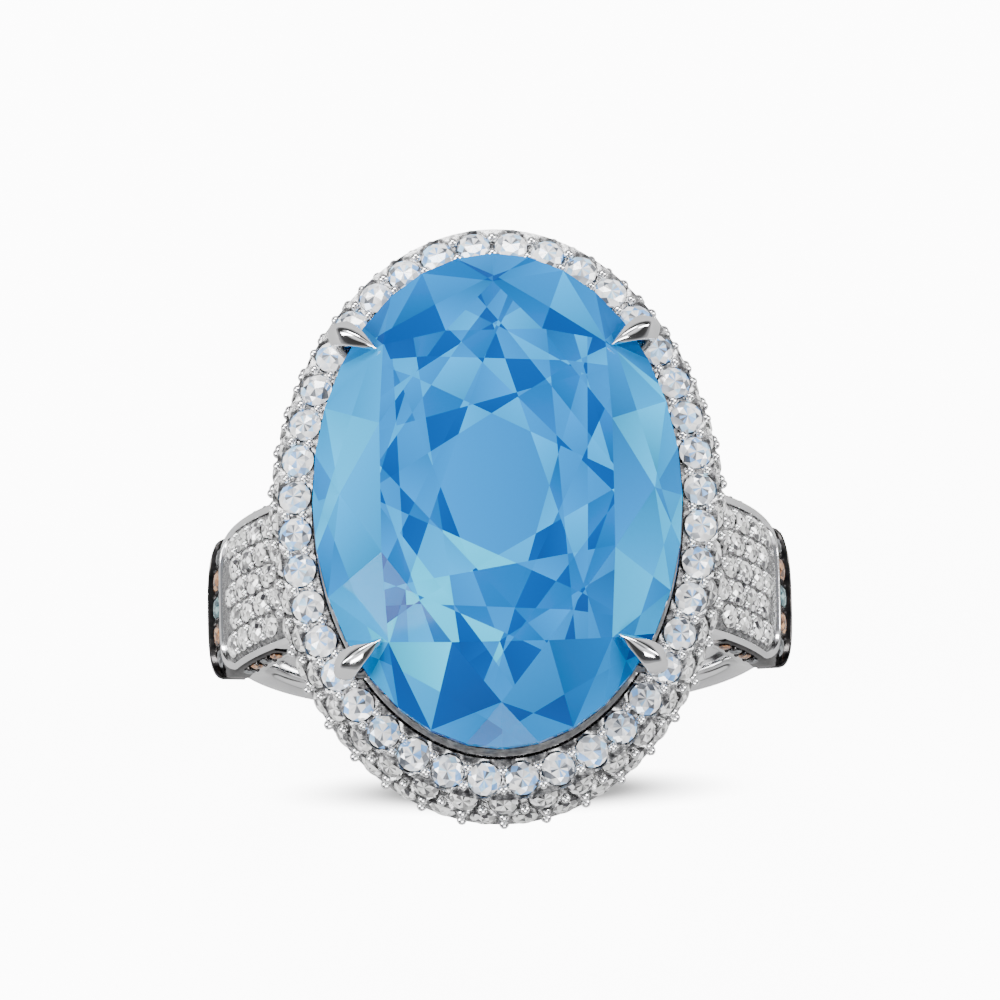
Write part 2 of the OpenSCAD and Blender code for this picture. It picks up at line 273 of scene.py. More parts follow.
# Height in the world, from 0 straight below to 1 straight above, and how bright it is there.
ZONES = [(0.12, 0.05), (0.4, 0.03), (0.56, 0.85), (0.84, 1.0), (0.93, 0.2)]
world = bpy.data.worlds.new("studio")
bpy.context.scene.world = world
world.use_nodes = True
world_nodes, world_links = world.node_tree.nodes, world.node_tree.links
direction = world_nodes.new("ShaderNodeTexCoord")
height = world_nodes.new("ShaderNodeSeparateXYZ")
bands = world_nodes.new("ShaderNodeValToRGB")
world_links.new(direction.outputs["Generated"], height.inputs["Vector"])
world_links.new(height.outputs["Z"], bands.inputs["Fac"])
world_links.new(bands.outputs["Color"], world_nodes["Background"].inputs["Color"])
bands.color_ramp.elements[0].color = (0.3, 0.3, 0.31, 1)
bands.color_ramp.elements[1].color = (0.22, 0.23, 0.25, 1)
for at, grey in ZONES:
    stop = bands.color_ramp.elements.new(at)
    stop.color = (grey, grey, grey * 1.02, 1)
world_nodes["Background"].inputs["Strength"].default_value = 1.5
print("bright and dark zones:", len(bands.color_ramp.elements))

# %% [markdown]
# ## Metal
# White gold is plated with rhodium, a bright white metal, and buffed until it mirrors. The buff
# leaves faint swirls, and the gravers that cut between the stones leave finer, duller marks. One
# node group makes those marks, as a height and as a change of gloss, and each metal takes them at
# its own scale. The metal between the stones is painted near-black, as painted shade in the cuts
# round the stones, and the top of the basket is painted dark, as painted shade under the big stone.
# The dark collars have the same finish in black rhodium.

# %% Build the group of tool marks
def mark_group():
    """Swirls times scratches, as a height, a roughness and a mask for colour."""
    group = bpy.data.node_groups.new("tool_marks", "ShaderNodeTree")
    for name, value in (("Scale", 900.0), ("Gloss Low", 0.05), ("Gloss High", 0.15)):
        group.interface.new_socket(name, in_out="INPUT", socket_type="NodeSocketFloat").default_value = value
    for name in ("Height", "Roughness", "Shade"):
        group.interface.new_socket(name, in_out="OUTPUT", socket_type="NodeSocketFloat")
    nodes, links = group.nodes, group.links
    given, result = nodes.new("NodeGroupInput"), nodes.new("NodeGroupOutput")
    place = nodes.new("ShaderNodeTexCoord")
    swirl, scratch = nodes.new("ShaderNodeTexNoise"), nodes.new("ShaderNodeTexNoise")
    swirl.inputs["Detail"].default_value = 6
    scratch.inputs["Detail"].default_value = 3
    stretch = nodes.new("ShaderNodeMapping")
    stretch.inputs["Scale"].default_value = (1, 7, 2)
    stretch.inputs["Rotation"].default_value = (0.3, 0.5, 0.9)
    links.new(place.outputs["Object"], swirl.inputs["Vector"])
    links.new(place.outputs["Object"], stretch.inputs["Vector"])
    links.new(stretch.outputs["Vector"], scratch.inputs["Vector"])
    links.new(given.outputs["Scale"], swirl.inputs["Scale"])
    links.new(given.outputs["Scale"], scratch.inputs["Scale"])
    both = nodes.new("ShaderNodeMath")
    both.operation = "MULTIPLY"
    links.new(swirl.outputs["Fac"], both.inputs[0])
    links.new(scratch.outputs["Fac"], both.inputs[1])
    gloss = nodes.new("ShaderNodeMapRange")
    gloss.inputs["From Min"].default_value = 0.1
    gloss.inputs["From Max"].default_value = 0.4
    links.new(both.outputs[0], gloss.inputs["Value"])
    links.new(given.outputs["Gloss Low"], gloss.inputs["To Min"])
    links.new(given.outputs["Gloss High"], gloss.inputs["To Max"])
    shade = nodes.new("ShaderNodeMapRange")
    shade.inputs["From Min"].default_value = 0.3
    shade.inputs["From Max"].default_value = 0.7
    links.new(swirl.outputs["Fac"], shade.inputs["Value"])
    links.new(both.outputs[0], result.inputs["Height"])
    links.new(gloss.outputs["Result"], result.inputs["Roughness"])
    links.new(shade.outputs["Result"], result.inputs["Shade"])
    return group


TOOL_MARKS = mark_group()

# %% Mix the metals
def metal(name, dark, light, scale, gloss, bump):
    """A metal whose colour drifts from dark to light, with marks at scale per metre."""
    material = bpy.data.materials.new(name)
    material.use_nodes = True
    nodes, links = material.node_tree.nodes, material.node_tree.links
    shader = nodes["Principled BSDF"]
    shader.inputs["Metallic"].default_value = 1.0
    marks = nodes.new("ShaderNodeGroup")
    marks.node_tree = TOOL_MARKS
    marks.inputs["Scale"].default_value = scale
    marks.inputs["Gloss Low"].default_value, marks.inputs["Gloss High"].default_value = gloss
    colours = nodes.new("ShaderNodeValToRGB")
    colours.color_ramp.elements[0].color = (*dark, 1)
    colours.color_ramp.elements[1].color = (*light, 1)
    relief = nodes.new("ShaderNodeBump")
    relief.inputs["Strength"].default_value = bump
    relief.inputs["Distance"].default_value = 0.02 * MM
    links.new(marks.outputs["Shade"], colours.inputs["Fac"])
    links.new(colours.outputs["Color"], shader.inputs["Base Color"])
    links.new(marks.outputs["Roughness"], shader.inputs["Roughness"])
    links.new(marks.outputs["Height"], relief.inputs["Height"])
    links.new(relief.outputs["Normal"], shader.inputs["Normal"])
    return material


POLISHED = metal("white_gold_polished", (0.78, 0.78, 0.79), (0.9, 0.9, 0.9), 700, (0.04, 0.12), 0.12)
# White gold painted near-black for the metal between the stones: painted shade in the cuts round the stones.
PAVE_METAL_PAINTED_SHADE = metal("white_gold_pave_painted_shade", (0.05, 0.05, 0.053), (0.42, 0.42, 0.42), 5200, (0.12, 0.34), 0.7)
BEAD_METAL = metal("white_gold_beads", (0.8, 0.8, 0.81), (0.93, 0.93, 0.93), 1800, (0.03, 0.1), 0.1)
# White gold painted dark for the top of the basket rail: painted shade under the big stone.
BASKET_TOP_PAINTED_SHADE = metal("white_gold_painted_shade_under_stone", (0.05, 0.05, 0.052), (0.3, 0.3, 0.3), 6500, (0.3, 0.5), 0.8)
BLACK_RHODIUM = metal("black_rhodium", (0.018, 0.018, 0.02), (0.075, 0.07, 0.068), 2600, (0.08, 0.25), 0.3)
print("metals:", POLISHED.name, PAVE_METAL_PAINTED_SHADE.name, BEAD_METAL.name, BLACK_RHODIUM.name)

# %% [markdown]
# ## Gems
# A cut gem shows a mosaic, because each facet mirrors another part of the room. That mosaic is
# painted: a colour attribute keeps one shade per facet, the stone's own colour mixed with a painted
# reflection, so that the mosaic stays with the stone from every side. The shader adds the gloss,
# and the coloured stones let part of the light through. The centre stone is given less gloss than
# the others, since its wide facets would mirror the lamps over its colour.

# %% Mix the gems
GEM_ROUGHNESS = 0.02


def gem(name, index, transmission):
    """A stone whose colour, with its painted reflections, comes from an attribute of its mesh."""
    material = bpy.data.materials.new(name)
    material.use_nodes = True
    nodes, links = material.node_tree.nodes, material.node_tree.links
    shader = nodes["Principled BSDF"]
    shader.inputs["Roughness"].default_value = GEM_ROUGHNESS
    shader.inputs["IOR"].default_value = index
    shader.inputs["Transmission Weight"].default_value = transmission
    colour_and_painted_reflection = nodes.new("ShaderNodeAttribute")
    colour_and_painted_reflection.attribute_name = "colour_and_painted_reflection"
    links.new(colour_and_painted_reflection.outputs["Color"], shader.inputs["Base Color"])
    return material


TOPAZ = gem("topaz", 1.4, 0.1)
TOPAZ.node_tree.nodes["Principled BSDF"].inputs["Specular IOR Level"].default_value = 0.06
DIAMOND = gem("diamond", 2.3, 0.0)
TEAL_STONE = gem("teal_stone", 1.77, 0.2)
COGNAC_STONE = gem("cognac_stone", 2.1, 0.2)
BLACK_STONE = gem("black_stone", 2.1, 0.0)

# %% [markdown]
# ## From mesh to piece
# Each finished piece stands for a CAD node, so it rides on the ring's one body and hides the plain
# solid. Edges sharper than a set angle stay crisp.


def finish_piece(bm, node, material, crisp):
    """The finished piece for one node. crisp is the angle in degrees past which an edge is sharp."""
    mesh = bpy.data.meshes.new(node + "_finished")
    bm.to_mesh(mesh)
    bm.free()
    mesh.materials.append(material)
    mesh.shade_smooth()
    mesh.set_sharp_from_angle(angle=math.radians(crisp))
    obj = bpy.data.objects.new(node + "_finished", mesh)
    bpy.context.collection.objects.link(obj)
    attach(obj, "root")
    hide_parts(node)
    print(obj.name, len(mesh.polygons), "faces")
    return obj


def stamp(bm, template, matrix):
    """Adds a copy of the template mesh, moved by the matrix, and returns its vertices."""
    before = len(bm.verts)
    bm.from_mesh(template)
    bm.verts.ensure_lookup_table()
    added = bm.verts[before:]
    bmesh.ops.transform(bm, matrix=matrix, verts=added)
    return added


def standing(place, axis, spin):
    """A matrix that takes local Z to the axis and the origin to the place."""
    turn = axis.to_track_quat("Z", "Y").to_matrix().to_4x4()
    return Matrix.Translation(place) @ turn @ Matrix.Rotation(spin, 4, "Z")


# %% [markdown]
# ## The centre stone
# A cutter grinds flat facets into a rounded blank, and each meet point of the facets is where
# three or more planes cross. The convex hull of those meet points is the cut stone, so rings of
# points at the right heights are enough: table, crown, girdle and two rings on the pavilion.
# Rings that are turned half a step against each other give the kites and triangles.
#
# Through the table the eye sees the pavilion facets bent into a mosaic of reflections. Straight
# cuts laid across the crown draw that mosaic: eight in a star round the middle, and more of them
# further out. Each small tile is painted with a blue of the stone and a painted reflection that
# depends on where it lies, plus some chance: pale and greyish in the middle, light at the long
# sides, deep blue at the ends, with a few very bright or dark tiles. A painted light runs across
# each tile.

# %% Cut the topaz
def facet_rings(bm, rings):
    """Adds ellipses of meet points: share of the girdle, height, number and half-step turn."""
    for share, rise, count, turn in rings:
        place = Matrix.Diagonal((HALF_W * share, HALF_L * share, 1, 1))
        place = Matrix.Translation((0, 0, GIRDLE_Z + rise * MM)) @ place
        spin = Matrix.Rotation(math.pi / count * turn, 4, "Z")
        bmesh.ops.create_circle(bm, segments=count, radius=1, matrix=place @ spin)


def hull_only(bm):
    """Leaves the convex hull of the points, with flat regions joined into single facets."""
    result = bmesh.ops.convex_hull(bm, input=bm.verts)
    inner = [g for g in result["geom_interior"] + result["geom_unused"] if isinstance(g, bmesh.types.BMVert)]
    bmesh.ops.delete(bm, geom=inner, context="VERTS")
    loose = [e for e in bm.edges if not e.link_faces]
    bmesh.ops.delete(bm, geom=loose, context="EDGES")
    bmesh.ops.dissolve_limit(bm, angle_limit=math.radians(1.5), verts=bm.verts, edges=bm.edges)
    bmesh.ops.recalc_face_normals(bm, faces=bm.faces)


def score(bm, share, turn, count, dice, least_tilt=0.9):
    """Cuts the facets that face upwards along count lines, about share of the way to the girdle."""
    for step in range(count):
        angle = math.tau * (step + turn + dice.uniform(-0.08, 0.08)) / count
        share = share * dice.uniform(0.96, 1.04)
        normal = Vector((math.cos(angle) / HALF_W, math.sin(angle) / HALF_L, 0))
        place = Vector((math.cos(angle) * HALF_W * share, math.sin(angle) * HALF_L * share, 0))
        faces = [f for f in bm.faces if f.normal.z > least_tilt]
        parts = faces + list({e for f in faces for e in f.edges} | {v for f in faces for v in f.verts})
        bmesh.ops.bisect_plane(bm, geom=parts, plane_co=place, plane_no=normal, dist=1e-6)


topaz_bm = bmesh.new()
facet_rings(topaz_bm, [(0.68, 2.0, 8, 1), (0.85, 1.25, 8, 0), (1, 0.13, 16, 0), (1, 0.13, 16, 1),
                       (1, -0.13, 16, 0), (1, -0.13, 16, 1), (0.64, -2.45, 16, 1),
                       (0.32, -4.05, 8, 0), (0.02, -5.5, 8, 1)])
hull_only(topaz_bm)
topaz_dice = random.Random(5)
for share, turn in ((0.25, 0.5), (0.35, 0.2), (0.47, 0), (0.6, 0.5)):
    score(topaz_bm, share, turn, 8, topaz_dice)
score(topaz_bm, 0.82, 0.5, 8, topaz_dice, least_tilt=0.3)
print("topaz facets and tiles:", len(topaz_bm.faces))

# %% Colour its tiles
# Blues of the topaz, each mixed with a painted reflection: the deeper ones stand for mirrored dark, the paler
# ones for mirrored light.
DEEP, ROYAL, BLUE = (0, 0.02, 0.12), (0, 0.045, 0.21), (0, 0.09, 0.3)
AZURE, SKY, PALE = (0, 0.15, 0.42), (0, 0.235, 0.53), (0.005, 0.34, 0.64)
AQUA, STEEL = (0, 0.39, 0.62), (0.005, 0.18, 0.33)


def topaz_blues_and_painted_reflections(x, y):
    """Blues with painted reflections that a tile may take, where x and y run from -1 to 1 across the girdle.
    """
    reach = math.hypot(x, y)
    if y < -0.85 or y > 0.88:
        return [AZURE, BLUE, ROYAL, AZURE]
    if abs(x) > 0.62 and abs(y) < 0.55:
        return [SKY, PALE, SKY, AZURE]
    if reach < 0.3:
        return [STEEL, SKY, SKY, AZURE, PALE]
    if x < 0 and -0.75 < y < -0.2:
        return [AZURE, AQUA, SKY, BLUE, ROYAL]
    if x >= 0 and y < -0.35:
        return [BLUE, AZURE, BLUE, ROYAL, AZURE]
    if y > 0.55:
        return [BLUE, AZURE, SKY, ROYAL, AZURE]
    return [AZURE, BLUE, AZURE, SKY, ROYAL]


colour_and_painted_reflection_layer = topaz_bm.loops.layers.float_color.new("colour_and_painted_reflection")
for face in sorted(topaz_bm.faces, key=lambda f: tuple(f.calc_center_median())):
    middle = face.calc_center_median()
    # Tiles that face up take painted reflections by where they lie; facets that face sideways and down take
    # darker painted reflections.
    if face.normal.z > 0.3:
        colour_and_painted_reflection = topaz_dice.choice(topaz_blues_and_painted_reflections(middle.x / HALF_W, middle.y / HALF_L))
    else:
        colour_and_painted_reflection = topaz_dice.choice([DEEP, ROYAL, BLUE, AZURE])
    # A painted light runs across each tile, lighter at one side and darker at the other.
    slant = topaz_dice.uniform(0, math.tau)
    painted_light_slope = Vector((math.cos(slant), math.sin(slant), 0)) * topaz_dice.uniform(0.05, 0.3) / MM
    for loop in face.loops:
        light = max(0.55, min(1.35, 1 + painted_light_slope.dot(loop.vert.co - middle)))
        loop[colour_and_painted_reflection_layer] = (*(min(1.0, part * light) for part in colour_and_painted_reflection), 1)
finish_piece(topaz_bm, "centre_stone", TOPAZ, crisp=2)

# %% [markdown]
# ## The small stones
# A melee diamond is a round brilliant: an octagonal table, kites and stars round it, a girdle and
# a pointed pavilion. One template is cut once and stamped into every seat with a few dozen faces.
# The table is split into wedges, because the pavilion shows through it as a star. Each facet is
# painted with a shade taken by lot, a painted reflection over the stone's own colour. Each copy is
# turned at random and a little lighter or darker, as sorted stones are, and each facet's painted
# shade runs from one corner to the next, a painted glint that gives the glitter.

# %% Cut one round brilliant
def brilliant_template():
    """A round brilliant with a girdle one unit in radius and its table split into wedges."""
    bm = bmesh.new()
    for share, rise, count, turn in ((0.56, TABLE_RISE, 8, 0), (0.8, 0.19, 8, 1), (1, 0.03, 16, 0),
                                     (1, -0.03, 16, 0), (0.3, -0.66, 8, 1)):
        place = Matrix.Translation((0, 0, rise)) @ Matrix.Rotation(math.pi / count * turn, 4, "Z")
        bmesh.ops.create_circle(bm, segments=count, radius=share, matrix=place)
    bmesh.ops.create_vert(bm, co=(0, 0, -0.84))
    hull_only(bm)
    table = max(bm.faces, key=lambda face: face.calc_center_median().z)
    bmesh.ops.subdivide_edges(bm, edges=table.edges[:], cuts=1)
    table = max(bm.faces, key=lambda face: face.calc_center_median().z)
    star = bmesh.ops.poke(bm, faces=[table])
    bmesh.ops.translate(bm, vec=(0, 0, 0.05), verts=star["verts"])
    mesh = bpy.data.meshes.new("brilliant")
    bm.to_mesh(mesh)
    print("one brilliant:", len(bm.faces), "faces")
    bm.free()
    return mesh


BRILLIANT = brilliant_template()


# %% Set a row of stones
def set_stones(node, material, colours_with_painted_reflections, seed):
    """Stamps a brilliant into each seat. The listed shades are the stone's colour and painted reflections,
    which its facets take by lot.
    """
    dice = random.Random(seed)
    bm = bmesh.new()
    layer = bm.loops.layers.float_color.new("colour_and_painted_reflection")
    for seat in stone_seats(node):
        grow = Matrix.Diagonal((seat.radius, seat.radius, seat.radius, 1))
        spin = dice.uniform(0, math.pi / 4)
        added = stamp(bm, BRILLIANT, standing(seat.middle, seat.axis, spin) @ grow)
        bright = dice.uniform(0.88, 1)
        for face in sorted({f for v in added for f in v.link_faces},
                           key=lambda f: tuple(f.calc_center_median())):
            shade = dice.choice(colours_with_painted_reflections)
            for loop in face.loops:
                # A painted glint: each corner of the facet is lighter or darker by chance.
                painted_glint = bright * dice.uniform(0.55, 1.25)
                loop[layer] = (*(min(1, c * painted_glint) for c in shade), 1)
    finish_piece(bm, node, material, crisp=2)


# Facet shades of the small stones: white, grey and near-black painted reflections, with some blue in the top
# row.
WHITE, FROST, GREY, SMOKE = (1.0, 1.0, 1.0), (0.8, 0.86, 0.95), (0.42, 0.45, 0.5), (0.1, 0.11, 0.13)
ICY = [WHITE, WHITE, WHITE, FROST, (0.2, 0.45, 0.9), (0.4, 0.68, 1.0), GREY, SMOKE]
GREYISH = [WHITE, WHITE, (0.8, 0.8, 0.78), (0.4, 0.4, 0.39), (0.2, 0.2, 0.2), (0.6, 0.61, 0.59),
           (0.04, 0.04, 0.045)]
set_stones("halo_stones_row_1", DIAMOND, ICY, 1)
set_stones("halo_stones_row_2", DIAMOND, GREYISH, 2)
set_stones("halo_stones_row_3", DIAMOND, GREYISH, 3)
for number, side in enumerate(("right", "left")):
    set_stones(side + "_shoulder_stones", DIAMOND, GREYISH, 4 + number)
    set_stones(side + "_band_stones", DIAMOND, GREYISH, 6 + number)
    # The coloured stones' facets take their own colour, with lighter and darker painted reflections.
    set_stones(side + "_collar_teal_stone", TEAL_STONE,
               [(0.12, 0.24, 0.25), (0.3, 0.46, 0.46), (0.05, 0.1, 0.12)], 8 + number)
    set_stones(side + "_collar_cognac_stones", COGNAC_STONE,
               [(0.3, 0.12, 0.04), (0.55, 0.28, 0.12), (0.09, 0.04, 0.02)], 10 + number)
    set_stones(side + "_collar_black_stones", BLACK_STONE,
               [(0.01, 0.01, 0.012), (0.06, 0.065, 0.07), (0.16, 0.17, 0.18)], 12 + number)

# %% [markdown]
# ## Beads
# With a graver the setter raises a curl of metal beside each stone, and rounds it with a cupped
# tool into a bead that grips the girdle. A bead is a low dome on a short neck, never quite like
# its neighbour, so each copy is stretched and tipped a little by chance.

# %% Raise the beads
def bead_template():
    """A ball one unit in radius, drawn down into a neck."""
    bm = bmesh.new()
    bmesh.ops.create_uvsphere(bm, u_segments=8, v_segments=6, radius=1)
    below = [v for v in bm.verts if v.co.z < -0.1]
    for vert in below:
        vert.co.z = max(vert.co.z, -0.5) * 2.4
    mesh = bpy.data.meshes.new("bead")
    bm.to_mesh(mesh)
    print("one bead:", len(bm.faces), "faces")
    bm.free()
    return mesh


BEAD = bead_template()


def raise_beads(node, material, seed):
    """Stamps a bead over each CAD bead."""
    dice = random.Random(seed)
    bm = bmesh.new()
    for seat in seats_of(node):
        axis = -seat.axis
        top = seat.middle + axis * seat.height
        wide = seat.radius * dice.uniform(0.92, 1.0)
        tall = seat.radius * dice.uniform(0.95, 1.05)
        tip = Matrix.Rotation(dice.uniform(-0.12, 0.12), 4, "X")
        shape = Matrix.Diagonal((wide, wide, tall, 1))
        stamp(bm, BEAD, standing(top - axis * tall, axis, dice.uniform(-0.2, 0.2)) @ tip @ shape)
    finish_piece(bm, node, material, crisp=80)


for row in (1, 2, 3):
    raise_beads("halo_inner_beads_row_%d" % row, BEAD_METAL, 20 + row)
    raise_beads("halo_outer_beads_row_%d" % row, BEAD_METAL, 30 + row)
for number, side in enumerate(("right", "left")):
    raise_beads(side + "_shoulder_beads", BEAD_METAL, 40 + number)
    raise_beads(side + "_band_beads", BEAD_METAL, 42 + number)
    raise_beads(side + "_collar_beads", BLACK_RHODIUM, 44 + number)

# %% [markdown]
# ## Rails and the halo frame
# The head is built from oval rings. A closed section is spun round the upright axis, which makes
# a round ring, and then each point is slid out to its own oval. For the halo frame the section is
# a dome, and wherever a stone sits the metal is pushed down into a cup, as the drill leaves it,
# with a thin raised edge round it.

# %% Spin an oval ring
def oval_ring(section, steps, cuts=0):
    """Sweeps a closed section of (out, height above the girdle) points, in mm, round the oval."""
    bm = bmesh.new()
    corners = [bm.verts.new((HALF_W + out * MM, 0, GIRDLE_Z + rise * MM)) for out, rise in section]
    for one, other in zip(corners, corners[1:] + corners[:1]):
        bm.edges.new((one, other))
    if cuts:
        bmesh.ops.subdivide_edges(bm, edges=bm.edges, cuts=cuts)
    bmesh.ops.spin(bm, geom=bm.verts[:] + bm.edges[:], cent=(0, 0, 0), axis=(0, 0, 1),
                   angle=math.tau, steps=steps, use_merge=True)
    bmesh.ops.remove_doubles(bm, verts=bm.verts, dist=1e-8)
    for vert in bm.verts:
        around = math.atan2(vert.co.y, vert.co.x)
        flat = oval(around, vert.co.xy.length - HALF_W)
        vert.co.x, vert.co.y = flat.x, flat.y
    bmesh.ops.recalc_face_normals(bm, faces=bm.faces)
    return bm


def soften(bm, width, angle=40, segments=2):
    """Bevels each edge that is sharper than the angle."""
    sharp = [e for e in bm.edges if len(e.link_faces) == 2
             and e.calc_face_angle(0) > math.radians(angle)]
    bmesh.ops.bevel(bm, geom=sharp, offset=width * MM, offset_type="OFFSET", segments=segments,
                    profile=0.5, affect="EDGES", material=-1)
    return bm


# %% Push the seats into a surface
# Where the cup ends and the raised edge peaks and ends, as shares of the stone's radius.
CUP_END, EDGE_PEAK, EDGE_END = 1.02, 1.09, 1.16
EDGE_REACH = 0.07


def sink_seats(bm, nodes, lip=0.03):
    """Pushes the metal down into a cup under each stone, and lifts a thin edge round it."""
    seats = [seat for node in nodes for seat in stone_seats(node)]
    finder = KDTree(len(seats))
    for number, seat in enumerate(seats):
        finder.insert(seat.middle, number)
    finder.balance()
    reach = 1.2 * max(seat.radius for seat in seats)
    moved = 0
    for vert in bm.verts:
        for _, number, _ in finder.find_range(vert.co, reach):
            seat = seats[number]
            offset = vert.co - seat.middle
            rise = offset.dot(seat.axis)
            share = (offset - seat.axis * rise).length / seat.radius
            if abs(rise) > seat.radius:
                continue
            if share < CUP_END:
                cup = -0.08 * seat.radius - 0.8 * seat.radius * min(1.0, 1.25 * (CUP_END - share))
                if rise > cup:
                    vert.co += seat.axis * (cup - rise)
                    moved += 1
            elif share < EDGE_END:
                vert.co += seat.axis * (lip * MM * (1 - abs(share - EDGE_PEAK) / EDGE_REACH))
    print("points pushed into seats:", moved)


# %% Make the halo frame
# Out from the girdle, height above it, lean in degrees and width of each row's stones, in mm.
HALO_ROWS = [(0.65, -1.55, 16, 1.16), (1.14, -2.5, 52, 1.02), (1.44, -3.5, 82, 0.95)]
GALLERY_TOP = -4.5


def dome_points():
    """Section of the dome: three points across each row of stones, level with their girdles."""
    points = []
    for out, rise, lean, width in HALO_ROWS:
        way = Vector((math.cos(math.radians(lean)), -math.sin(math.radians(lean))))
        up = Vector((-way.y, way.x))
        for share in (-0.54, 0, 0.54):
            bulge = 0.03 if share == 0 else 0
            points.append(tuple(Vector((out, rise)) + way * (share * width) + up * bulge))
    return points


frame_section = [(-0.2, GALLERY_TOP), (-0.2, -1.5), (0.0, -1.5), *dome_points(), (1.15, GALLERY_TOP),
                 (0.85, GALLERY_TOP), (0.62, -3.6), (0.45, -2.9), (0.2, -2.6), (0.2, GALLERY_TOP)]
halo_bm = oval_ring(frame_section, steps=480, cuts=3)
sink_seats(halo_bm, ["halo_stones_row_1", "halo_stones_row_2", "halo_stones_row_3"])
finish_piece(halo_bm, "halo_frame", PAVE_METAL_PAINTED_SHADE, crisp=50)

# %% Make the rails
def box_section(out_1, out_2, rise_1, rise_2):
    """The four corners of a square-cut rail."""
    return [(out_1, rise_1), (out_1, rise_2), (out_2, rise_2), (out_2, rise_1)]


GALLERY_BOTTOM = GALLERY_TOP - 0.6
for node, section, edge in (
        ("gallery_inner_rail", box_section(-3.3, -2.7, GALLERY_BOTTOM, GALLERY_TOP), 0.12),
        ("gallery_outer_rail", box_section(0.6, 1.15, GALLERY_BOTTOM, GALLERY_TOP), 0.14)):
    finish_piece(soften(oval_ring(section, steps=180), edge, segments=3), node, POLISHED, crisp=60)

basket_section = [(-0.2, -1.5), (-0.2, -0.4), (-0.05, -0.4), (-0.05, -1.12), (0, -1.12), (0, -1.5)]
# Above this height, just under the stone, the basket is painted dark: painted shade under the stone.
PAINTED_SHADE_ABOVE = GIRDLE_Z - 1.1 * MM
basket = finish_piece(oval_ring(basket_section, steps=240), "basket_rail", POLISHED, crisp=60)
basket.data.materials.append(BASKET_TOP_PAINTED_SHADE)
for face in basket.data.polygons:
    if face.center.z > PAINTED_SHADE_ABOVE:
        face.material_index = 1

# %% [markdown]
# ## Claws
# A claw is a post that rises from the gallery, passes the girdle, and is filed into a talon that
# bends over the crown and comes to a sharp point with a ridge along its back. It is swept: a
# section is extruded from station to station, and each station says where the middle is, how
# thick the claw is there, and which way it runs.

# %% Sweep a section through stations
def sweep(bm, section, stations):
    """Extrudes a closed section through a list of matrices and caps both ends."""
    corners = [bm.verts.new(stations[0] @ Vector((x, y, 0))) for x, y in section]
    edges = [bm.edges.new((one, other)) for one, other in zip(corners, corners[1:] + corners[:1])]
    for before, after in zip(stations, stations[1:]):
        grown = bmesh.ops.extrude_edge_only(bm, edges=edges)["geom"]
        fresh = [g for g in grown if isinstance(g, bmesh.types.BMVert)]
        edges = [g for g in grown if isinstance(g, bmesh.types.BMEdge)]
        bmesh.ops.transform(bm, matrix=after @ before.inverted(), verts=fresh)
    bmesh.ops.holes_fill(bm, edges=[e for e in bm.edges if e.is_boundary], sides=0)
    bmesh.ops.recalc_face_normals(bm, faces=bm.faces)


def talon_section(count=16):
    """Round below and ridged above, one unit in radius."""
    points = []
    for step in range(count):
        angle = math.tau * step / count
        x, y = math.cos(angle), math.sin(angle)
        points.append((x, y if y < 0 else 1.12 * (1 - abs(x) ** 1.35) ** 0.9))
    return points


# Out from the girdle, height above it, half width and half depth, in mm.
CLAW_STATIONS = [(-2.95, -4.45, 0.4, 0.4), (-1.6, -2.85, 0.4, 0.4), (-0.35, -1.3, 0.42, 0.42),
                 (0.3, -0.5, 0.44, 0.42), (0.52, -0.1, 0.48, 0.42), (0.6, 0.3, 0.52, 0.42),
                 (0.5, 0.66, 0.52, 0.4), (0.25, 0.93, 0.47, 0.36), (-0.06, 1.09, 0.38, 0.31),
                 (-0.38, 1.17, 0.28, 0.25), (-0.68, 1.19, 0.17, 0.17), (-0.92, 1.16, 0.08, 0.09),
                 (-1.08, 1.1, 0.015, 0.02)]


def claw(node, t):
    """A claw at parameter t of the girdle, which faces square out from it."""
    foot = oval(t, 0)
    facing = math.atan2(HALF_W * math.sin(t), HALF_L * math.cos(t))
    outward = Vector((math.cos(facing), math.sin(facing), 0))
    across = Vector((-outward.y, outward.x, 0))
    stations = []
    for number, (out, rise, wide, deep) in enumerate(CLAW_STATIONS):
        before = CLAW_STATIONS[max(number - 1, 0)]
        after = CLAW_STATIONS[min(number + 1, len(CLAW_STATIONS) - 1)]
        run, climb = after[0] - before[0], after[1] - before[1]
        length = math.hypot(run, climb)
        way = (outward * run + Vector((0, 0, climb))) / length
        back = (outward * climb - Vector((0, 0, run))) / length
        place = foot + outward * (out * MM) + Vector((0, 0, GIRDLE_Z + rise * MM))
        turn = Matrix((across, back, way)).transposed().to_4x4()
        size = Matrix.Diagonal((wide * MM, deep * MM, MM, 1))
        stations.append(Matrix.Translation(place) @ turn @ size)
    bm = bmesh.new()
    sweep(bm, talon_section(), stations)
    obj = finish_piece(bm, node, POLISHED, crisp=70)
    rounder = obj.modifiers.new("rounder", "SUBSURF")
    rounder.levels = rounder.render_levels = 2


CLAW_T = math.radians(40)
claw("claw_front_right", -CLAW_T)
claw("claw_front_left", math.pi + CLAW_T)
claw("claw_back_right", CLAW_T)
claw("claw_back_left", math.pi - CLAW_T)

# %% [markdown]
# ## The band
# The band is a ring cast in one piece: wide and thin under the head, narrow and thicker at the
# palm side, flat inside for comfort and softly domed outside. Its section is a rounded slab, spun
# once round the finger. Each point is then moved to the width and thickness that the band has at
# its angle, counted down from the stone.

# %% Spin and shape the band
BAND_OUTER = -cad_box[0][2]
# Angle down from the stone in degrees, and half the band's width there, in mm.
BAND_HALF_WIDTHS = [(0, 1.95), (44, 2.65), (74, 2.58), (86, 2.03), (112, 1.33), (180, 1.15)]
SECTION_R = 9.5 * MM
BAND_STEP = (82, 88)


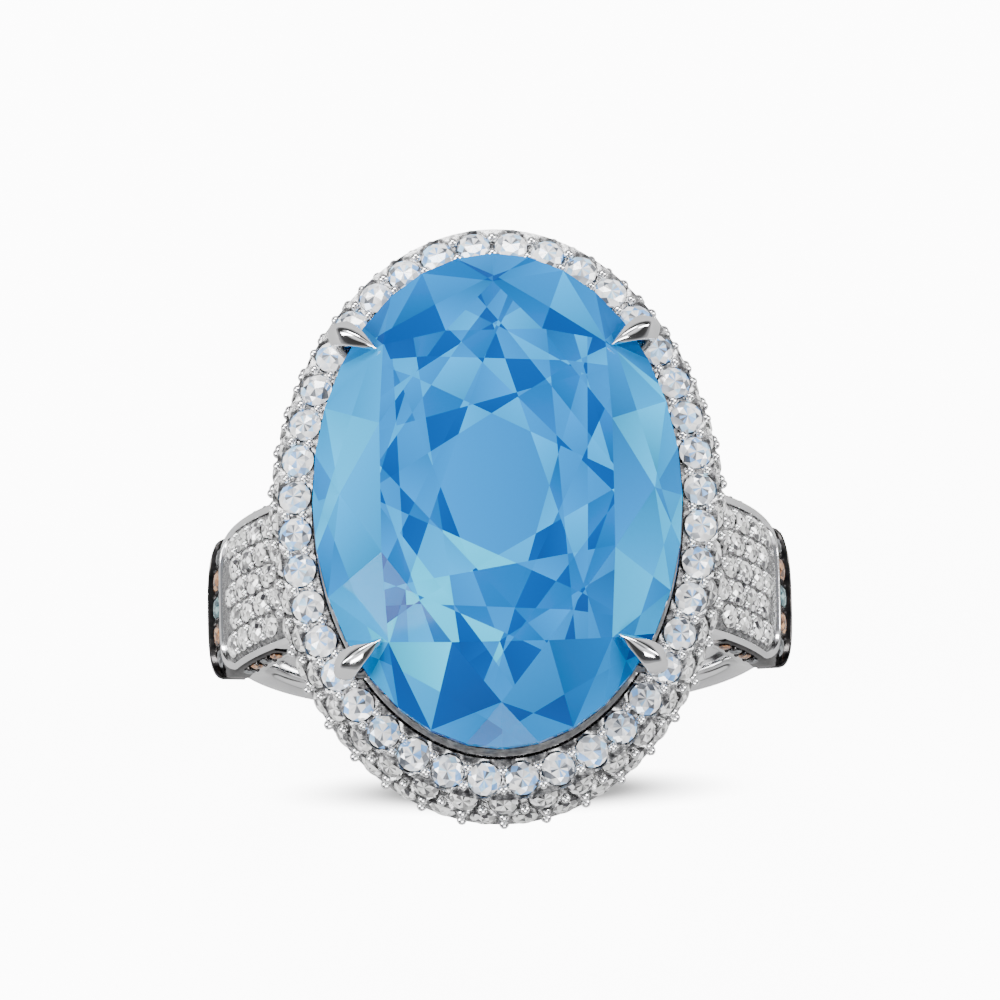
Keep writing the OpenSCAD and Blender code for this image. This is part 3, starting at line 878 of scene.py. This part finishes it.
def ease(low, high, value):
    """A soft step from 0 at low to 1 at high."""
    share = min(1.0, max(0.0, (value - low) / (high - low)))
    return share * share * (3 - 2 * share)


def band_half_width(angle):
    for (low, wide_1), (high, wide_2) in zip(BAND_HALF_WIDTHS, BAND_HALF_WIDTHS[1:]):
        if angle <= high:
            return (wide_1 + (wide_2 - wide_1) * ease(low, high, angle)) * MM
    return BAND_HALF_WIDTHS[-1][1] * MM


band_bm = bmesh.new()
bmesh.ops.create_circle(band_bm, segments=48, radius=1, matrix=Matrix.Rotation(0.001, 4, "Z"))
for vert in band_bm.verts:
    thick = math.copysign(abs(vert.co.x) ** (0.25 if vert.co.x < 0 else 0.5), vert.co.x)
    wide = math.copysign(abs(vert.co.y) ** 0.7, vert.co.y)
    vert.co = Vector((SECTION_R + thick * MM / 2, wide * MM, 0))
bmesh.ops.spin(band_bm, geom=band_bm.verts[:] + band_bm.edges[:], cent=(0, 0, 0), axis=(0, 1, 0),
               angle=math.tau, steps=480, use_merge=True)
bmesh.ops.remove_doubles(band_bm, verts=band_bm.verts, dist=1e-8)
for vert in band_bm.verts:
    around = Vector((vert.co.x, vert.co.z))
    angle = math.degrees(math.atan2(abs(vert.co.x), vert.co.z))
    outer = SLEEVE_R + (BAND_OUTER - SLEEVE_R) * ease(*BAND_STEP, angle)
    radius = FINGER_R + (outer - FINGER_R) * ((around.length - SECTION_R) / MM + 0.5)
    around = around.normalized() * radius
    vert.co = Vector((around.x, vert.co.y * band_half_width(angle) / MM, around.y))
bmesh.ops.recalc_face_normals(band_bm, faces=band_bm.faces)
sink_seats(band_bm, ["right_band_stones", "left_band_stones"], lip=0.02)
finish_piece(band_bm, "shank", POLISHED, crisp=60)

# %% [markdown]
# ## Shoulders and collars
# Each shoulder is a crowned tongue of pave with a bright lip, and round its end runs a collar in
# black rhodium with dark stones. Every outline is a tongue: two straight sides along the finger's
# circle and a round-cornered end. The plate fills the smallest tongue, and the lip, the collar and
# the collar's rim are ribbons between one tongue and the next. A flat grid is bent onto the
# crowned surface and thickened down to the band. The left side is the right one mirrored.

# %% Draw a tongue
SHOULDER_R = 10.25 * MM
PLATE_HALF_W, RIM_HALF_W, COLLAR_HALF_W = 2.42 * MM, 2.68 * MM, 2.76 * MM
PLATE_START, BEND_START = 48, 74
SIDE_STEPS, CORNER_STEPS, END_STEPS = 40, 10, 24


def tongue(start, end, half, corner):
    """Points (angle in degrees, y) along the edge of a tongue, from one head corner to the other."""
    corner_angle = math.degrees(corner / SHOULDER_R)
    edge = [(start + (end - corner_angle - start) * step / SIDE_STEPS, -half) for step in range(SIDE_STEPS)]
    for step in range(CORNER_STEPS):
        turn = math.pi / 2 * step / CORNER_STEPS
        edge.append((end - corner_angle * (1 - math.sin(turn)), -half + corner * (1 - math.cos(turn))))
    edge += [(end, (corner - half) * (1 - step / END_STEPS)) for step in range(END_STEPS)]
    return edge + [(end, 0)] + [(angle, -y) for angle, y in reversed(edge)]


def on_finger_circle(angle, y, radius):
    angle = math.radians(angle)
    return Vector((radius * math.sin(angle), y, radius * math.cos(angle)))


def crowned(y, half, side_r, top_r):
    """Radius of a crowned surface at y, side_r at its edges and top_r along its middle."""
    return side_r + (top_r - side_r) * max(0.0, 1 - abs(y / half) ** 3) ** (1 / 3)


def bent_patch(place, along, across):
    """A solid patch. place turns the two shares of a grid point into angle, y and radius."""
    bm = bmesh.new()
    bmesh.ops.create_grid(bm, x_segments=along, y_segments=across, size=1)
    for vert in bm.verts:
        vert.co = on_finger_circle(*place((vert.co.x + 1) / 2, (vert.co.y + 1) / 2))
    grown = bmesh.ops.extrude_face_region(bm, geom=bm.faces[:])["geom"]
    for vert in (g for g in grown if isinstance(g, bmesh.types.BMVert)):
        around = Vector((vert.co.x, vert.co.z)).normalized() * (SLEEVE_R + 0.02 * MM)
        vert.co.x, vert.co.z = around.x, around.y
    bmesh.ops.recalc_face_normals(bm, faces=bm.faces)
    return bm


def ribbon(inner, outer, height, across):
    """A patch between two edges of equal length, where height gives the radius at a y."""
    def place(share, way):
        number = min(int(share * (len(inner) - 1) + 0.5), len(inner) - 1)
        angle = inner[number][0] + (outer[number][0] - inner[number][0]) * way
        y = inner[number][1] + (outer[number][1] - inner[number][1]) * way
        return angle, y, height(angle, y)

    return bent_patch(place, len(inner) - 1, across)


def to_side(bm, side):
    """Mirrors a piece made for the right side when the left one is wanted."""
    if side == "left":
        bmesh.ops.scale(bm, vec=(-1, 1, 1), verts=bm.verts)
        bmesh.ops.recalc_face_normals(bm, faces=bm.faces)
    return bm


# %% Make both shoulders
PLATE_SIDE = SLEEVE_R + 0.55 * MM
PLATE_EDGE = (PLATE_START, 77.3, PLATE_HALF_W, 1.05 * MM)
RIM_EDGE = (PLATE_START, 78.5, RIM_HALF_W, 1.25 * MM)
COLLAR_START, COLLAR_RIM_START = 54, 79.8
COLLAR_CORNER = 1.4 * MM
FLOOR_END, COLLAR_END = 84.4, 86.2
LIP_STEP, COLLAR_STEP = (BEND_START - 1, BEND_START + 3), (79.5, 83)


def plate_place(share, way):
    """Angle, y and radius on the pave, where each line of points stops at the rounded end."""
    y = math.sin((2 * way - 1) * math.pi / 2) * PLATE_HALF_W
    _, end, half, corner = PLATE_EDGE
    over = min(corner, max(0.0, abs(y) - (half - corner)))
    last = end - math.degrees((corner - math.sqrt(corner ** 2 - over ** 2)) / SHOULDER_R)
    return PLATE_START + (last - PLATE_START) * share, y, crowned(y, PLATE_HALF_W, PLATE_SIDE, SHOULDER_R)


def lip_height(angle, y):
    """The lip is low along the sides and follows the crown round the end."""
    end_part = crowned(y, RIM_HALF_W + 0.02 * MM, PLATE_SIDE + 0.16 * MM, SHOULDER_R + 0.11 * MM)
    side_part = PLATE_SIDE + 0.2 * MM
    return side_part + (end_part - side_part) * ease(*LIP_STEP, angle)


def floor_height(_, y):
    """The collar's floor, in which its stones sit, is the same all along."""
    return crowned(y, COLLAR_HALF_W + 0.1 * MM, SLEEVE_R + 0.3 * MM, SHOULDER_R + 0.08 * MM)


def rim_height(angle, y):
    """The collar's rim grows out of the floor towards the end."""
    full = crowned(y, COLLAR_HALF_W + 0.1 * MM, SLEEVE_R + 0.4 * MM, SHOULDER_R + 0.36 * MM)
    return floor_height(angle, y) + (full - floor_height(angle, y)) * ease(*COLLAR_STEP, angle)


for side in ("right", "left"):
    plate = to_side(bent_patch(plate_place, 64, 64), side)
    sink_seats(plate, [side + "_shoulder_stones"])
    finish_piece(plate, side + "_shoulder_plate", PAVE_METAL_PAINTED_SHADE, crisp=50)

    lip = ribbon(tongue(*PLATE_EDGE), tongue(*RIM_EDGE), lip_height, 3)
    finish_piece(soften(to_side(lip, side), 0.04, angle=50), side + "_shoulder_rim", POLISHED, crisp=50)

    inner = tongue(COLLAR_START, *RIM_EDGE[1:])
    outer = tongue(COLLAR_START, FLOOR_END, COLLAR_HALF_W - 0.02 * MM, COLLAR_CORNER)
    collar = to_side(ribbon(inner, outer, floor_height, 10), side)
    sink_seats(collar, [side + "_collar_" + kind for kind in ("teal_stone", "cognac_stones", "black_stones")])
    finish_piece(collar, side + "_collar", BLACK_RHODIUM, crisp=50)

    pairs = zip(tongue(70, FLOOR_END, COLLAR_HALF_W, COLLAR_CORNER),
                tongue(70, COLLAR_END, COLLAR_HALF_W, COLLAR_CORNER))
    inner, outer = zip(*(pair for pair in pairs if pair[0][0] > COLLAR_RIM_START))
    collar_rim = soften(to_side(ribbon(inner, outer, rim_height, 3), side), 0.05, angle=60)
    finish_piece(collar_rim, side + "_collar_rim", BLACK_RHODIUM, crisp=50)

# %% [markdown]
# ## Arms and struts
# The arms that carry the head, and the struts that tie the two gallery rails together, already
# have the right shape in the frame. Cast and buffed metal has no knife edges, so a merged copy of
# each gets its edges rounded.

# %% Round the cast pieces
def rounded_copy(node, width):
    """Finishes a CAD node as it is, with its edges rounded to a width in mm."""
    bm = bmesh.new()
    bm.from_mesh(frame["nodes"][node].data)
    bmesh.ops.remove_doubles(bm, verts=bm.verts, dist=1e-7)
    bmesh.ops.dissolve_limit(bm, angle_limit=math.radians(1), verts=bm.verts, edges=bm.edges)
    finish_piece(soften(bm, width, angle=30), node, POLISHED, crisp=60)


rounded_copy("gallery_struts", 0.1)
rounded_copy("right_gallery_arm", 0.12)
rounded_copy("left_gallery_arm", 0.12)
